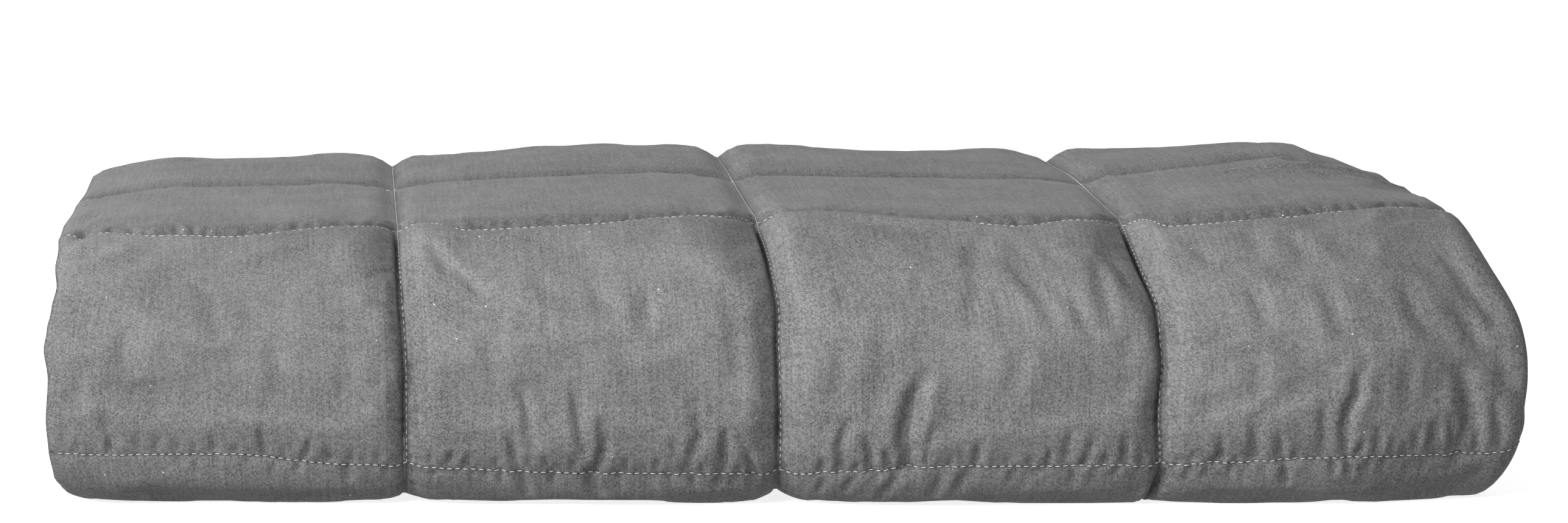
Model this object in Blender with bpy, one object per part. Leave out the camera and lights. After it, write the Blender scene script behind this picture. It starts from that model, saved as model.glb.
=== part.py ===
import bisect
import math

import bmesh
import bpy

# A bead-filled blanket quilted in squares, shown folded: in half across its width, then in half along
# its length, then in half once more round a full, half-round front. Metres. X runs along the front with
# the lengthwise fold at +X, Y runs to the back and Z is up. The blanket is one closed body.

# the blanket laid flat
CELL = 0.1524                 # side of a stitched square
CELLS_ACROSS = 8
CELLS_ALONG = 10
SEAM_HALF = 0.0014            # half thickness where the two shells are stitched together
HEM_HALF = 0.0011             # half thickness at the outer edge
CROWN_HALF = 0.0075           # half thickness at the middle of a filled square

# the folds
PLY_PITCH = 0.0158            # one thickness of blanket with the gap to the next
LAYER_PITCH = 2 * PLY_PITCH   # two plies travel together along the path
SINK = 0.0024                 # how far the lowest squares are pressed flat on the surface below
FRONT_DEPTH = 0.067           # depth of the half-round front, outside
FRONT_FULLNESS = 2.7          # exponent of the front's lower half; 2 is an ellipse
FRONT_SEAM_RISE = 0.0262      # height of the lower front seam, at the middle of the two plies
TOP_RUN = 0.2645              # straight run on top, from the front round to the back fold
CREASE_ARC = 0.0157           # quarter of the cloth that goes round the lengthwise fold
CREASE_REACH = 0.010          # the squares next to the lengthwise fold bulge out this far
END_GATHER = 0.94             # the squares at the open ends draw in a little
INNER_GATHER = 1.12           # cloth taken up by each metre of the inner layers
INNER_FRONT = 0.0625          # centre of the innermost fold, measured from the front
FIBRE = 0.009                 # distance from the middle of the two plies at which lengths are true

# how the stack settles, with x from the lengthwise fold and y from the front
FOLD_END = 0.085              # the fold's end begins to round off here
FOLD_END_EASE = 0.095
FOLD_END_ROUND = 0.018        # and lies this far behind the front
FOLD_END_FOOT = 0.006         # drawn in near the surface below
FOOT_HEIGHT = 0.035
FOLD_END_SHOULDER = 0.007     # drawn in near the top
SHOULDER_HEIGHT = 0.07
SHOULDER_EASE = 0.05
FOLD_END_DROOP = 0.07         # share by which its back hangs lower
DROOP_FROM = 0.055
DROOP_EASE = 0.06
DROOP_DEPTH = 0.2
OPEN_END = 0.555              # the open end begins to round off here
OPEN_END_EASE = 0.05
OPEN_END_ROUND = 0.004
ROUND_DEPTH = 0.16            # depth at which the front's rounding has faded
FRONT_WAVE = 0.0025           # the front isn't quite straight
FRONT_WAVE_PITCH = 9.5        # radians a metre
TOP_DRAW = 0.0155             # the top is narrower than the front by this share
TOP_DRAW_FROM = 0.06
TOP_DRAW_EASE = 0.055
STILL_X = 0.594               # the place near the open end that it draws toward
SIDE_LEAN = 0.078             # both ends run to the left toward the back, metres a metre
LEFT_SPREAD = 0.004           # the left half lies slightly wide
LEFT_SPREAD_FROM = 0.15
TAIL_DROOP = 0.12             # share by which the upper free end hangs down past the lower one
TAIL_FROM = 0.34
TAIL_EASE = 0.05
TAIL_HEIGHT = 0.075
TAIL_FADE = 0.03

SWELLS = (
    # x, y, half width, half depth, share of the height
    (-0.095, 0.22, 0.07, 0.13, 0.035),
    (-0.190, 0.20, 0.06, 0.08, 0.006),
    (-0.290, 0.11, 0.05, 0.06, -0.006),
    (-0.400, 0.22, 0.07, 0.09, 0.006),
    (-0.500, 0.13, 0.06, 0.07, -0.005),
)

# how much thicker the stack is toward the back fold
BACK_RISE = (
    # y from the front, share of the height
    (0.15, 0.0),
    (0.30, 0.02),
)

# height of the stack along the front, left to right
SKYLINE = (
    # x from the lengthwise fold, height as a share of the even stack's
    (-0.605, 0.935),
    (-0.530, 0.975),
    (-0.445, 0.99),
    (-0.295, 1.03),
    (-0.205, 0.995),
    (-0.120, 1.005),
    (-0.030, 1.03),
    (0.015, 1.0),
)

# the lower front seam, right to left
SEAM_RISE = (
    # squares across, how far the seam slides up the front
    (4.0, 0.004),
    (4.6, 0.002),
    (5.0, 0.001),
    (6.0, -0.004),
    (7.0, 0.0),
    (7.5, 0.006),
    (8.0, 0.007),
)

# stations across and along, as fractions of a square
FOLD_TO_CROWN = (0.0, 0.034, 0.069, 0.103, 0.28, 0.5, 0.72, 0.92)
FOLD_TO_CROWN_HIDDEN = (0.0, 0.034, 0.069, 0.103, 0.42, 0.88)
OUTER_SQUARE = (0.0, 0.08, 0.34, 0.66, 0.92)
HIDDEN_SQUARE = (0.0, 0.12, 0.5, 0.88)
ROWS_ALONG = (
    # one row of squares after another, from the end that lies underneath
    (0.0, 0.08, 0.34, 0.66, 0.92),
    (0.0, 0.08, 0.32, 0.56, 0.78, 0.93),
    (0.0, 0.05, 0.14, 0.24, 0.35, 0.45, 0.55, 0.65, 0.76, 0.87, 0.95),
    (0.0, 0.07, 0.28, 0.5, 0.72, 0.93),
    (0.0, 0.07, 0.28, 0.52, 0.76, 0.85, 0.92, 0.97),
    (0.0, 0.03, 0.08, 0.15, 0.24, 0.55, 0.9),
    (0.0, 0.1, 0.5, 0.9),
    (0.0, 0.1, 0.26, 0.34, 0.42, 0.5, 0.58, 0.66, 0.74, 0.9),
    (0.0, 0.1, 0.5, 0.9),
    (0.0, 0.1, 0.5, 0.92),
)


def smooth(value):
    value = max(0.0, min(1.0, value))
    return value * value * (3 - 2 * value)


def interpolate(table, place):
    # eases from row to row of a two-column table
    for (left, low), (right, high) in zip(table, table[1:]):
        if place <= right:
            return low + (high - low) * smooth((place - left) / (right - left))
    return table[-1][1]


def crown(fraction):
    # rises steeply beside a seam and is nearly level over the middle of a square
    return (1 - abs(2 * fraction - 1) ** 3.2) ** 0.7


def half_thickness(across, along):
    # across and along are counted in squares
    fraction_across = across - math.floor(across)
    fraction_along = along - math.floor(along)
    rise = crown(fraction_across) * crown(fraction_along)
    base = SEAM_HALF
    if min(across, CELLS_ACROSS - across, along, CELLS_ALONG - along) < 1e-6:
        base = HEM_HALF
    return base + (CROWN_HALF - base) * rise


def arc(centre_y, centre_z, depth, height, start, end, steps, fullness=2.0):
    # points of an elliptical turn; angles in degrees from straight ahead, toward -Y, and a fuller
    # curve below its middle
    points = []
    for step in range(steps + 1):
        angle = math.radians(start + (end - start) * step / steps)
        ahead = max(0.0, math.cos(angle))
        power = 2 / fullness if angle < 0 else 1.0
        rise = math.copysign(abs(math.sin(angle)) ** power, angle)
        points.append((centre_y - depth * ahead ** power, centre_z + height * rise))
    return points


def offset_length(points, distance):
    # running length of a polyline moved sideways by distance, on its left
    moved = []
    for index, (y, z) in enumerate(points):
        before = points[max(0, index - 1)]
        after = points[min(len(points) - 1, index + 1)]
        length = math.hypot(after[0] - before[0], after[1] - before[1])
        moved.append((y - distance * (after[1] - before[1]) / length,
                      z + distance * (after[0] - before[0]) / length))
    lengths = [0.0]
    for first, second in zip(moved, moved[1:]):
        lengths.append(lengths[-1] + math.hypot(second[0] - first[0], second[1] - first[1]))
    return lengths


def build_path():
    # the middle of the two plies, from the end underneath, round the front, over the top, round the
    # back fold and in again; each entry is (cloth length so far, y, z)
    level = [PLY_PITCH - SINK + LAYER_PITCH * layer for layer in range(4)]
    middle = 0.5 * (level[0] + level[3])
    front = arc(FRONT_DEPTH, middle, FRONT_DEPTH - PLY_PITCH, middle - level[0], -90, 90, 96,
                FRONT_FULLNESS)
    front_length = offset_length(front, FIBRE)
    below = sum(1 for y, z in front if z < FRONT_SEAM_RISE)
    lower_seam = front_length[below]
    back_y = FRONT_DEPTH + TOP_RUN
    back = arc(back_y, 0.5 * (level[2] + level[3]), -0.5 * LAYER_PITCH, 0.5 * LAYER_PITCH, 90, -90, 36)
    back_length = offset_length(back, FIBRE)
    inner = arc(INNER_FRONT, 0.5 * (level[1] + level[2]), 0.5 * LAYER_PITCH + 0.002,
                0.5 * LAYER_PITCH, 90, -90, 36)
    inner_length = offset_length(inner, 0.0)

    start = 2 * CELL - lower_seam
    path = [(0.0, FRONT_DEPTH + start, level[0])]
    path += [(start + run, y, z) for run, (y, z) in zip(front_length, front)]
    turn = 0.5 * CELLS_ALONG * CELL - 0.5 * back_length[-1]
    path += [(turn + run, y, z) for run, (y, z) in zip(back_length, back)]
    turn = path[-1][0] + (back_y - INNER_FRONT) * INNER_GATHER
    path += [(turn + run * INNER_GATHER, y, z) for run, (y, z) in zip(inner_length, inner)]
    left = CELLS_ALONG * CELL - path[-1][0]
    path.append((CELLS_ALONG * CELL, INNER_FRONT + left / INNER_GATHER, level[1]))
    return path


PATH = build_path()
PATH_LENGTHS = [entry[0] for entry in PATH]


def path_direction(index):
    before = PATH[max(0, index - 1)]
    after = PATH[min(len(PATH) - 1, index + 1)]
    length = math.hypot(after[1] - before[1], after[2] - before[2])
    return (after[1] - before[1]) / length, (after[2] - before[2]) / length


def path_frame(along):
    # middle of the plies and the outward normal at a cloth length along the blanket
    index = min(max(bisect.bisect_right(PATH_LENGTHS, along) - 1, 0), len(PATH) - 2)
    share = (along - PATH[index][0]) / (PATH[index + 1][0] - PATH[index][0])
    y = PATH[index][1] + share * (PATH[index + 1][1] - PATH[index][1])
    z = PATH[index][2] + share * (PATH[index + 1][2] - PATH[index][2])
    first = path_direction(index)
    second = path_direction(index + 1)
    run_y = first[0] + share * (second[0] - first[0])
    run_z = first[1] + share * (second[1] - first[1])
    length = math.hypot(run_y, run_z)
    return y, z, -run_z / length, run_y / length


def cross_section(offset):
    # the two plies seen along the path: x and distance from their middle, with the ply's own normal;
    # offset is cloth length from the lengthwise fold, positive on the outer ply
    side = 1.0 if offset >= 0 else -1.0
    length = abs(offset)
    radius = 0.5 * PLY_PITCH
    if length <= CREASE_ARC:
        angle = side * 0.5 * math.pi * length / CREASE_ARC
        x = CREASE_REACH + radius * math.cos(angle)
        return x, radius * math.sin(angle), math.cos(angle), math.sin(angle)
    run = length - CREASE_ARC
    bulge = CREASE_REACH * max(0.0, 1 - run / (CELL - CREASE_ARC))
    last_square = CELL * (0.5 * CELLS_ACROSS - 1) - CREASE_ARC
    gathered = (1 - END_GATHER) * max(0.0, run - last_square)
    return bulge - run + gathered, side * radius, 0.0, side


def settle(x, y, z):
    # the stack is rounder toward its ends, narrower on top and never quite even; x is measured from
    # the lengthwise fold and y from the front
    fold_end = smooth((x + FOLD_END) / FOLD_END_EASE)
    open_end = smooth((-OPEN_END - x) / OPEN_END_EASE)
    near = max(0.0, 1 - y / ROUND_DEPTH)
    wave = FRONT_WAVE * math.sin(FRONT_WAVE_PITCH * x + 0.6)
    y += near * (FOLD_END_ROUND * fold_end ** 2 + OPEN_END_ROUND * open_end + wave)
    x -= TOP_DRAW * smooth((z - TOP_DRAW_FROM) / TOP_DRAW_EASE) * (x + STILL_X)
    x -= FOLD_END_FOOT * smooth(1 - z / FOOT_HEIGHT) * fold_end
    x -= FOLD_END_SHOULDER * smooth((z - SHOULDER_HEIGHT) / SHOULDER_EASE) * fold_end
    x -= LEFT_SPREAD * smooth((-LEFT_SPREAD_FROM - x) / LEFT_SPREAD_FROM)
    lean = SIDE_LEAN * y
    lift = interpolate(SKYLINE, x) + interpolate(BACK_RISE, y) * (1 - fold_end)
    for swell in SWELLS:
        away = ((x - swell[0]) / swell[2]) ** 2 + ((y - swell[1]) / swell[3]) ** 2
        lift += swell[4] * math.exp(-away)
    lift -= FOLD_END_DROOP * smooth((x + DROOP_FROM) / DROOP_EASE) * smooth(y / DROOP_DEPTH)
    lift -= TAIL_DROOP * smooth((y - TAIL_FROM) / TAIL_EASE) * smooth((TAIL_HEIGHT - z) / TAIL_FADE)
    return x - lean, y, max(0.0, z * lift)


def seam_wave(across, along):
    # the lower front seam isn't straight: squares nearby slide a little round the front
    near = max(0.0, 1 - abs(along - 2) / 0.8)
    return near * interpolate(SEAM_RISE, across)


def ply_end_shift(across, along):
    # the open ends of the plies lie a few millimetres out of line with one another
    share = smooth(abs(across - 0.5 * CELLS_ACROSS) - 3)
    side = 1 if across > 0.5 * CELLS_ACROSS else -1
    return share * (0.0022 * math.sin(2.3 * along + side) - (0.004 if side < 0 else 0.0))


def folded(across, along, face):
    # where a point of the flat blanket goes; across and along count squares, face is -1 or 1
    thickness = face * half_thickness(across, along)
    x, out, normal_x, normal_out = cross_section((across - 0.5 * CELLS_ACROSS) * CELL)
    x += thickness * normal_x + ply_end_shift(across, along)
    out += thickness * normal_out
    y, z, normal_y, normal_z = path_frame(along * CELL + seam_wave(across, along))
    return settle(x, y + out * normal_y, z + out * normal_z)


def stations_across():
    half = CELLS_ACROSS // 2
    outer = [cell + fraction for cell in range(half)
             for fraction in (FOLD_TO_CROWN if cell == 0 else OUTER_SQUARE)]
    hidden = [cell + fraction for cell in range(half)
              for fraction in (FOLD_TO_CROWN_HIDDEN if cell == 0 else HIDDEN_SQUARE)]
    outer.append(float(half))
    hidden.append(float(half))
    return [half - value for value in reversed(hidden)] + [half + value for value in outer[1:]]


def stations_along():
    rows = [row + fraction for row, fractions in enumerate(ROWS_ALONG) for fraction in fractions]
    return rows + [float(CELLS_ALONG)]


def make_blanket(collection):
    # a flat grid is thickened to two faces and a rim, and every point is then carried to its fold
    across = stations_across()
    along = stations_along()
    mesh = bpy.data.meshes.new("quilted_blanket")
    body = bmesh.new()
    bmesh.ops.create_grid(body, x_segments=len(across) - 1, y_segments=len(along) - 1, size=0.5)
    lower = list(body.verts)
    grown = bmesh.ops.extrude_face_region(body, geom=list(body.faces), use_keep_orig=True)
    upper = [item for item in grown["geom"] if isinstance(item, bmesh.types.BMVert)]
    for face, points in ((-1, lower), (1, upper)):
        for point in points:
            column = round((point.co.x + 0.5) * (len(across) - 1))
            row = round((point.co.y + 0.5) * (len(along) - 1))
            point.co = folded(across[column], along[row], face)
    low = [min(point.co[axis] for point in body.verts) for axis in range(3)]
    high = [max(point.co[axis] for point in body.verts) for axis in range(3)]
    centre = (-0.5 * (low[0] + high[0]), -0.5 * (low[1] + high[1]), -low[2])
    bmesh.ops.translate(body, vec=centre, verts=body.verts)
    bmesh.ops.recalc_face_normals(body, faces=body.faces)
    body.to_mesh(mesh)
    body.free()
    blanket = bpy.data.objects.new("quilted_blanket", mesh)
    collection.objects.link(blanket)
    return blanket


def make_material():
    # plain woven polyester, mid grey with a slight sheen
    material = bpy.data.materials.new("grey_quilting_cloth")
    material.use_nodes = True
    surface = material.node_tree.nodes["Principled BSDF"]
    surface.inputs["Base Color"].default_value = (0.26, 0.26, 0.265, 1.0)
    surface.inputs["Roughness"].default_value = 0.62
    surface.inputs["Metallic"].default_value = 0.0
    return material


for leftover in list(bpy.data.objects):
    bpy.data.objects.remove(leftover, do_unlink=True)

blanket_parts = bpy.data.collections.new("weighted_blanket")
bpy.context.scene.collection.children.link(blanket_parts)
make_blanket(blanket_parts).data.materials.append(make_material())
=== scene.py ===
import math
import random

import bmesh
import bpy
import numpy as np
from mathutils import Matrix, Vector, noise


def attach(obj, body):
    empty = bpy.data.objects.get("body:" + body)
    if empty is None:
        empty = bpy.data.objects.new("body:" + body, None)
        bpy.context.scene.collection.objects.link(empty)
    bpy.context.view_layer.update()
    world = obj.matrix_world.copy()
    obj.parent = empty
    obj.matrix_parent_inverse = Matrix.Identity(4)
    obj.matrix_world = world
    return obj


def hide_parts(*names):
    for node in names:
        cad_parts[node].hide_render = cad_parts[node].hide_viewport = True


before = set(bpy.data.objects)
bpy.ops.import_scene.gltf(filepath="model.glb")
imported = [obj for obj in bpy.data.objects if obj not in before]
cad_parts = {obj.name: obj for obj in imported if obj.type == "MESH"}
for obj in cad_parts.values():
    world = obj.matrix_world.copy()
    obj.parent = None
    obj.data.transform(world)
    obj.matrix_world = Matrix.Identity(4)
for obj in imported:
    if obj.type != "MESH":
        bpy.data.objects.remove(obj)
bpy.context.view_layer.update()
print("frame loaded:", sorted(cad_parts))


def fill(tree, target, value):
    # a link where the value is another node's output, and a fixed value otherwise
    if isinstance(value, Socket):
        tree.links.new(value.socket, target)
    elif value is not None:
        target.default_value = value


class Socket:
    # a node's output, so that node maths can be written as Python expressions
    def __init__(self, tree, socket):
        self.tree = tree
        self.socket = socket

    def maths(self, operation, first, second=None):
        made = self.tree.nodes.new("ShaderNodeMath")
        made.operation = operation
        fill(self.tree, made.inputs[0], first)
        fill(self.tree, made.inputs[1], second)
        return Socket(self.tree, made.outputs[0])

    def __add__(self, other):
        return self.maths("ADD", self, other)

    def __radd__(self, other):
        return self.maths("ADD", other, self)

    def __sub__(self, other):
        return self.maths("SUBTRACT", self, other)

    def __rsub__(self, other):
        return self.maths("SUBTRACT", other, self)

    def __mul__(self, other):
        return self.maths("MULTIPLY", self, other)

    def __rmul__(self, other):
        return self.maths("MULTIPLY", other, self)

    def apply(self, operation, other=None):
        return self.maths(operation, self, other)


class Shader:
    def __init__(self, name):
        self.material = bpy.data.materials.new(name)
        self.material.use_nodes = True
        self.tree = self.material.node_tree
        self.surface = self.tree.nodes["Principled BSDF"]

    def node(self, kind, settings=None, sockets=None, output=0):
        made = self.tree.nodes.new(kind)
        for name, value in (settings or {}).items():
            setattr(made, name, value)
        for name, value in (sockets or {}).items():
            fill(self.tree, made.inputs[name], value)
        return Socket(self.tree, made.outputs[output])

    def mix(self, factor, first, second):
        # colours are mixed by a Mix node
        made = self.tree.nodes.new("ShaderNodeMix")
        made.data_type = "RGBA"
        inputs = {item.identifier: item for item in made.inputs}
        outputs = {item.identifier: item for item in made.outputs}
        for name, value in (("Factor_Float", factor), ("A_Color", first), ("B_Color", second)):
            fill(self.tree, inputs[name], value)
        return Socket(self.tree, outputs["Result_Color"])

    def channel(self, colour):
        # one channel of a colour as a number
        return self.node("ShaderNodeSeparateXYZ", {}, {"Vector": colour})

    def feed(self, name, value):
        fill(self.tree, self.surface.inputs[name], value)


def pieceFrom(body, name):
    # a bmesh becomes an object of the scene
    mesh = bpy.data.meshes.new(name)
    body.to_mesh(mesh)
    body.free()
    piece = bpy.data.objects.new(name, mesh)
    bpy.context.scene.collection.objects.link(piece)
    return piece


def finish(piece, material):
    piece.data.materials.clear()
    piece.data.materials.append(material)
    for polygon in piece.data.polygons:
        polygon.use_smooth = True
    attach(piece, "root")


# the blanket laid flat and how it is folded, in metres; places on the cloth are in squares across and along
blanket = {
    "cell": 0.1524,  # side of a stitched square
    "cellsAcross": 8,
    "cellsAlong": 10,
    "seamHalf": 0.0014,  # half thickness at a stitched line
    "hemHalf": 0.0011,  # and at the outer edge
    "atHem": 1e-6,  # squares
    "crownHalf": 0.0075,  # half thickness at the middle of a square
    "crownPower": 3.2,
    "crownEase": 0.7,
    "faceCrownPower": 4.4,  # the outer face is fuller, with narrower valleys at the stitching
    "faceCrownEase": 0.62,
    "plyPitch": 0.0158,  # from one thickness of the blanket to the next
    "sink": 0.0024,  # how far the lowest squares are pressed into the surface below
    "frontDepth": 0.067,  # of the half-round front
    "frontFullness": 3.0,  # power of the front's lower half; 2 is an ellipse
    "frontSeamRise": 0.0262,  # height of the lower front seam
    "topRun": 0.2645,  # from the front round to the fold at the back
    "creaseArc": 0.0157,  # quarter of the cloth that goes round the lengthwise fold
    "creaseReach": 0.010,  # how far the squares beside that fold bulge past it
    "endGather": 0.94,  # the last squares at the open end draw in by the rest
    "innerGather": 1.12,  # cloth taken up by a metre of the inner layers
    "innerFront": 0.0625,  # where the innermost fold lies, measured from the front
    "innerSlack": 0.002,
    "fibre": 0.009,  # distance from the middle of the two plies at which lengths are true
    "cornerInFrame": (0.30276, -0.19266, 0.0),  # where the fold's front corner lies
}
cell = blanket["cell"]

# how the stack settles: x runs from the lengthwise fold, y from the front
settling = {
    "foldEnd": 0.085, "foldEndEase": 0.095, "foldEndRound": 0.018,
    "foldEndFoot": 0.006, "footHeight": 0.035,
    "foldEndShoulder": 0.009, "shoulderHeight": 0.075, "shoulderEase": 0.045,
    "foldEndDroop": 0.06, "droopFrom": 0.055, "droopEase": 0.06, "droopBehind": 0.2, "droopDepth": 0.13,
    "openEnd": 0.555, "openEndEase": 0.05, "openEndRound": 0.001, "roundDepth": 0.16,
    "frontWave": 0.0025, "frontWavePitch": 9.5, "frontWavePhase": 0.6,
    "topDraw": 0.0155, "topDrawFrom": 0.06, "topDrawEase": 0.055, "stillX": 0.594,
    "sideLean": 0.078,  # both ends run to the left toward the back, metres a metre
    "leftSpread": 0.004, "leftSpreadFrom": 0.15,
    "tailDroop": 0.12, "tailFrom": 0.34, "tailEase": 0.05, "tailHeight": 0.075, "tailFade": 0.03,
    "press": 0.0003, "pressFade": 0.004,  # the underside is pressed flat by the weight
    "plyEndWave": 0.0022, "plyEndPitch": 2.3, "plyEndDraw": 0.006,
    "plyEndFrom": 3,  # squares from the middle at which the ends of the plies begin to shift
    "footFill": {5: 0.85, 6: 0.15, 7: 0.45},  # how shallow these seams' valleys are at the foot of the front
    "footFrom": 2.0, "footReach": 0.15,  # squares along
    "swells": (  # x, y, half width, half depth, share of the height
        (-0.095, 0.22, 0.07, 0.13, 0.035),
        (-0.190, 0.20, 0.06, 0.08, 0.006),
        (-0.290, 0.11, 0.05, 0.06, -0.006),
        (-0.400, 0.22, 0.07, 0.09, 0.006),
        (-0.500, 0.13, 0.06, 0.07, -0.005),
        (-0.055, 0.21, 0.045, 0.07, 0.050),
        (0.012, 0.18, 0.032, 0.10, -0.055),
        (-0.080, 0.31, 0.070, 0.06, -0.030),
    ),
    "backRise": ((0.15, 0.0), (0.30, 0.02)),  # y, share of the height
    "skyline": (  # x, share of the height
        (-0.605, 0.905), (-0.530, 0.945), (-0.445, 0.96), (-0.295, 1.00),
        (-0.205, 0.97), (-0.120, 0.985), (-0.030, 1.015), (0.015, 1.0),
    ),
}

# how the stitched lines lie and what they do to the cloth beside them
seams = {
    "sideways": (1, 2, 3, 4, 5),  # those that are seen, by their squares along
    "frontToBack": (5, 6, 7),  # and across
    "slideReach": 0.8,  # squares over which a sideways seam's slide fades
    "slide": {  # how far such a seam lies up the front or back along the top: squares across, metres
        2: ((4.0, 0.004), (4.6, 0.005), (4.86, 0.003), (5.0, -0.001), (5.14, 0.002), (5.6, 0.002),
            (5.86, -0.002), (6.0, -0.007), (6.14, -0.003), (6.5, -0.002), (6.88, 0.0), (7.0, -0.001),
            (7.12, 0.002), (7.5, 0.008), (8.0, 0.008)),
        3: ((4.0, -0.010), (4.15, -0.028), (4.4, -0.033), (4.6, -0.036), (4.9, -0.039), (5.0, -0.013),
            (5.12, -0.027), (5.3, -0.035), (5.5, -0.027), (5.9, -0.018), (6.0, -0.008), (6.12, -0.028),
            (6.5, -0.036), (6.8, -0.037), (7.0, -0.010), (7.12, -0.028), (7.5, -0.039), (7.7, -0.036),
            (7.85, -0.026), (8.0, -0.012)),
        4: ((4.0, -0.040), (4.3, -0.045), (4.6, -0.040), (5.0, -0.020), (5.5, -0.006), (6.0, 0.0)),
    },
    "slip": {  # how far the seams that run front to back wander sideways: squares along, metres
        5: ((1.7, 0.001), (2.0, 0.0032), (2.15, 0.0018), (2.35, 0.003), (2.5, 0.005), (2.7, 0.003),
            (3.0, 0.002)),
        6: ((1.7, 0.0035), (2.1, 0.0022), (2.35, 0.0015), (2.5, 0.0037), (2.65, 0.0035), (3.0, 0.002)),
    },
    "flank": {  # how widely the square at the left of such a seam rounds into it: squares along, share
        5: ((1.7, 0.8), (2.0, 0.4), (2.08, 0.75), (2.15, 0.75), (2.22, 0.55), (2.29, 0.32), (2.4, 0.34),
            (2.48, 0.8), (2.58, 1.5), (2.75, 2.1), (3.0, 1.6)),
        6: ((1.7, 0.8), (2.03, 0.8), (2.1, 1.2), (2.17, 1.1), (2.22, 0.8), (2.31, 1.1), (2.45, 1.2),
            (2.52, 0.8), (2.57, 1.0), (2.64, 1.6), (2.76, 2.0), (3.0, 1.6)),
        7: ((1.7, 0.8), (2.03, 0.4), (2.1, 0.7), (2.2, 0.7), (2.28, 0.35), (2.38, 0.6), (2.45, 0.6),
            (2.5, 0.7), (2.56, 0.6), (2.64, 1.2), (2.76, 1.4), (2.9, 1.3)),
    },
    "openEdge": (  # the outer ply's edge at the left: squares along, metres inwards
        (1.7, -0.0008), (1.8, -0.001), (1.9, -0.0035), (2.0, -0.005), (2.1, -0.0057), (2.25, -0.0046),
        (2.35, -0.0062), (2.42, -0.005), (2.5, -0.0032), (2.6, -0.0012), (2.7, -0.0022), (2.8, -0.0015),
        (3.0, -0.0025), (3.4, -0.003), (3.8, -0.0015), (4.3, 0.001), (4.7, 0.001),
    ),
    "pullZone": (4.5, 7.5),  # squares across where the seams are drawn into the stack
    "pull": 0.0045, "pullGrowth": 0.8, "pullLeft": 0.0076, "pullRight": 0.0058,
    "pullShown": (  # squares along, share
        (1.6, 0.0), (1.9, 0.35), (1.98, 0.35), (2.14, 1.0), (2.85, 1.0), (3.1, 0.3), (4.9, 0.3), (5.2, 0.0),
    ),
    "slit": 0.0036, "slitAside": 0.0013, "slitWidth": 0.0009,  # the narrow gap beside the stitches
    "slitLeast": 0.6,  # its share where the flank is narrow
    "slitShown": ((2.88, 1.0), (3.08, 0.0)),
}


def smooth(value):
    value = np.clip(value, 0.0, 1.0)
    return value * value * (3 - 2 * value)


def ease(table, place):
    # eases from row to row of a two-column table
    result = np.full_like(place, table[0][1])
    for (left, low), (right, high) in zip(table, table[1:]):
        result = np.where(place > left, low + (high - low) * smooth((place - left) / (right - left)), result)
    return result


def crown(fraction, outerFace=False):
    # steep beside a seam, nearly level over the middle of a square
    power, rise = ("faceCrownPower", "faceCrownEase") if outerFace else ("crownPower", "crownEase")
    return (1 - np.abs(2 * fraction - 1) ** blanket[power]) ** blanket[rise]


def arc(centre, size, start, end, steps, fullness=2.0):
    # y and z of an arc, in degrees; size is its depth and height
    angle = np.radians(start + (end - start) * np.arange(steps + 1) / steps)
    ahead = np.maximum(0.0, np.cos(angle))
    power = np.where(angle < 0, 2 / fullness, 1.0)
    rise = np.copysign(np.abs(np.sin(angle)) ** power, angle)
    return np.stack((centre[0] - size[0] * ahead ** power, centre[1] + size[1] * rise), axis=1)


def runLengths(points):
    return np.concatenate(([0.0], np.cumsum(np.linalg.norm(np.diff(points, axis=0), axis=1))))


def directions(points):
    # unit direction along a polyline, from the neighbours of each point
    before = points[np.maximum(0, np.arange(len(points)) - 1)]
    after = points[np.minimum(len(points) - 1, np.arange(len(points)) + 1)]
    run = after - before
    return run / np.linalg.norm(run, axis=1)[:, None]


def offsetLength(points, distance):
    run = directions(points)
    return runLengths(points + distance * np.stack((-run[:, 1], run[:, 0]), axis=1))


def buildPath():
    # the middle of the two plies: cloth length, y and z, from the end underneath to the inner end
    pitch = blanket["plyPitch"]
    layer = 2 * pitch
    frontSteps, foldSteps = 96, 36
    level = [pitch - blanket["sink"] + layer * index for index in range(4)]
    middle = 0.5 * (level[0] + level[3])
    front = arc((blanket["frontDepth"], middle), (blanket["frontDepth"] - pitch, middle - level[0]),
                -90, 90, frontSteps, blanket["frontFullness"])
    frontLength = offsetLength(front, blanket["fibre"])
    lowerSeam = frontLength[int(np.sum(front[:, 1] < blanket["frontSeamRise"]))]
    backY = blanket["frontDepth"] + blanket["topRun"]
    back = arc((backY, 0.5 * (level[2] + level[3])), (-0.5 * layer, 0.5 * layer), 90, -90, foldSteps)
    backLength = offsetLength(back, blanket["fibre"])
    inner = arc((blanket["innerFront"], 0.5 * (level[1] + level[2])),
                (0.5 * layer + blanket["innerSlack"], 0.5 * layer), 90, -90, foldSteps)
    innerLength = offsetLength(inner, 0.0)
    start = 2 * cell - lowerSeam
    path = [(0.0, blanket["frontDepth"] + start, level[0])]
    path += [(start + run, y, z) for run, (y, z) in zip(frontLength, front)]
    turn = 0.5 * blanket["cellsAlong"] * cell - 0.5 * backLength[-1]
    path += [(turn + run, y, z) for run, (y, z) in zip(backLength, back)]
    turn = path[-1][0] + (backY - blanket["innerFront"]) * blanket["innerGather"]
    path += [(turn + run * blanket["innerGather"], y, z) for run, (y, z) in zip(innerLength, inner)]
    left = blanket["cellsAlong"] * cell - path[-1][0]
    path.append((blanket["cellsAlong"] * cell, blanket["innerFront"] + left / blanket["innerGather"], level[1]))
    return np.array(path)


pathTable = buildPath()
pathRun = directions(pathTable[:, 1:])


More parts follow.
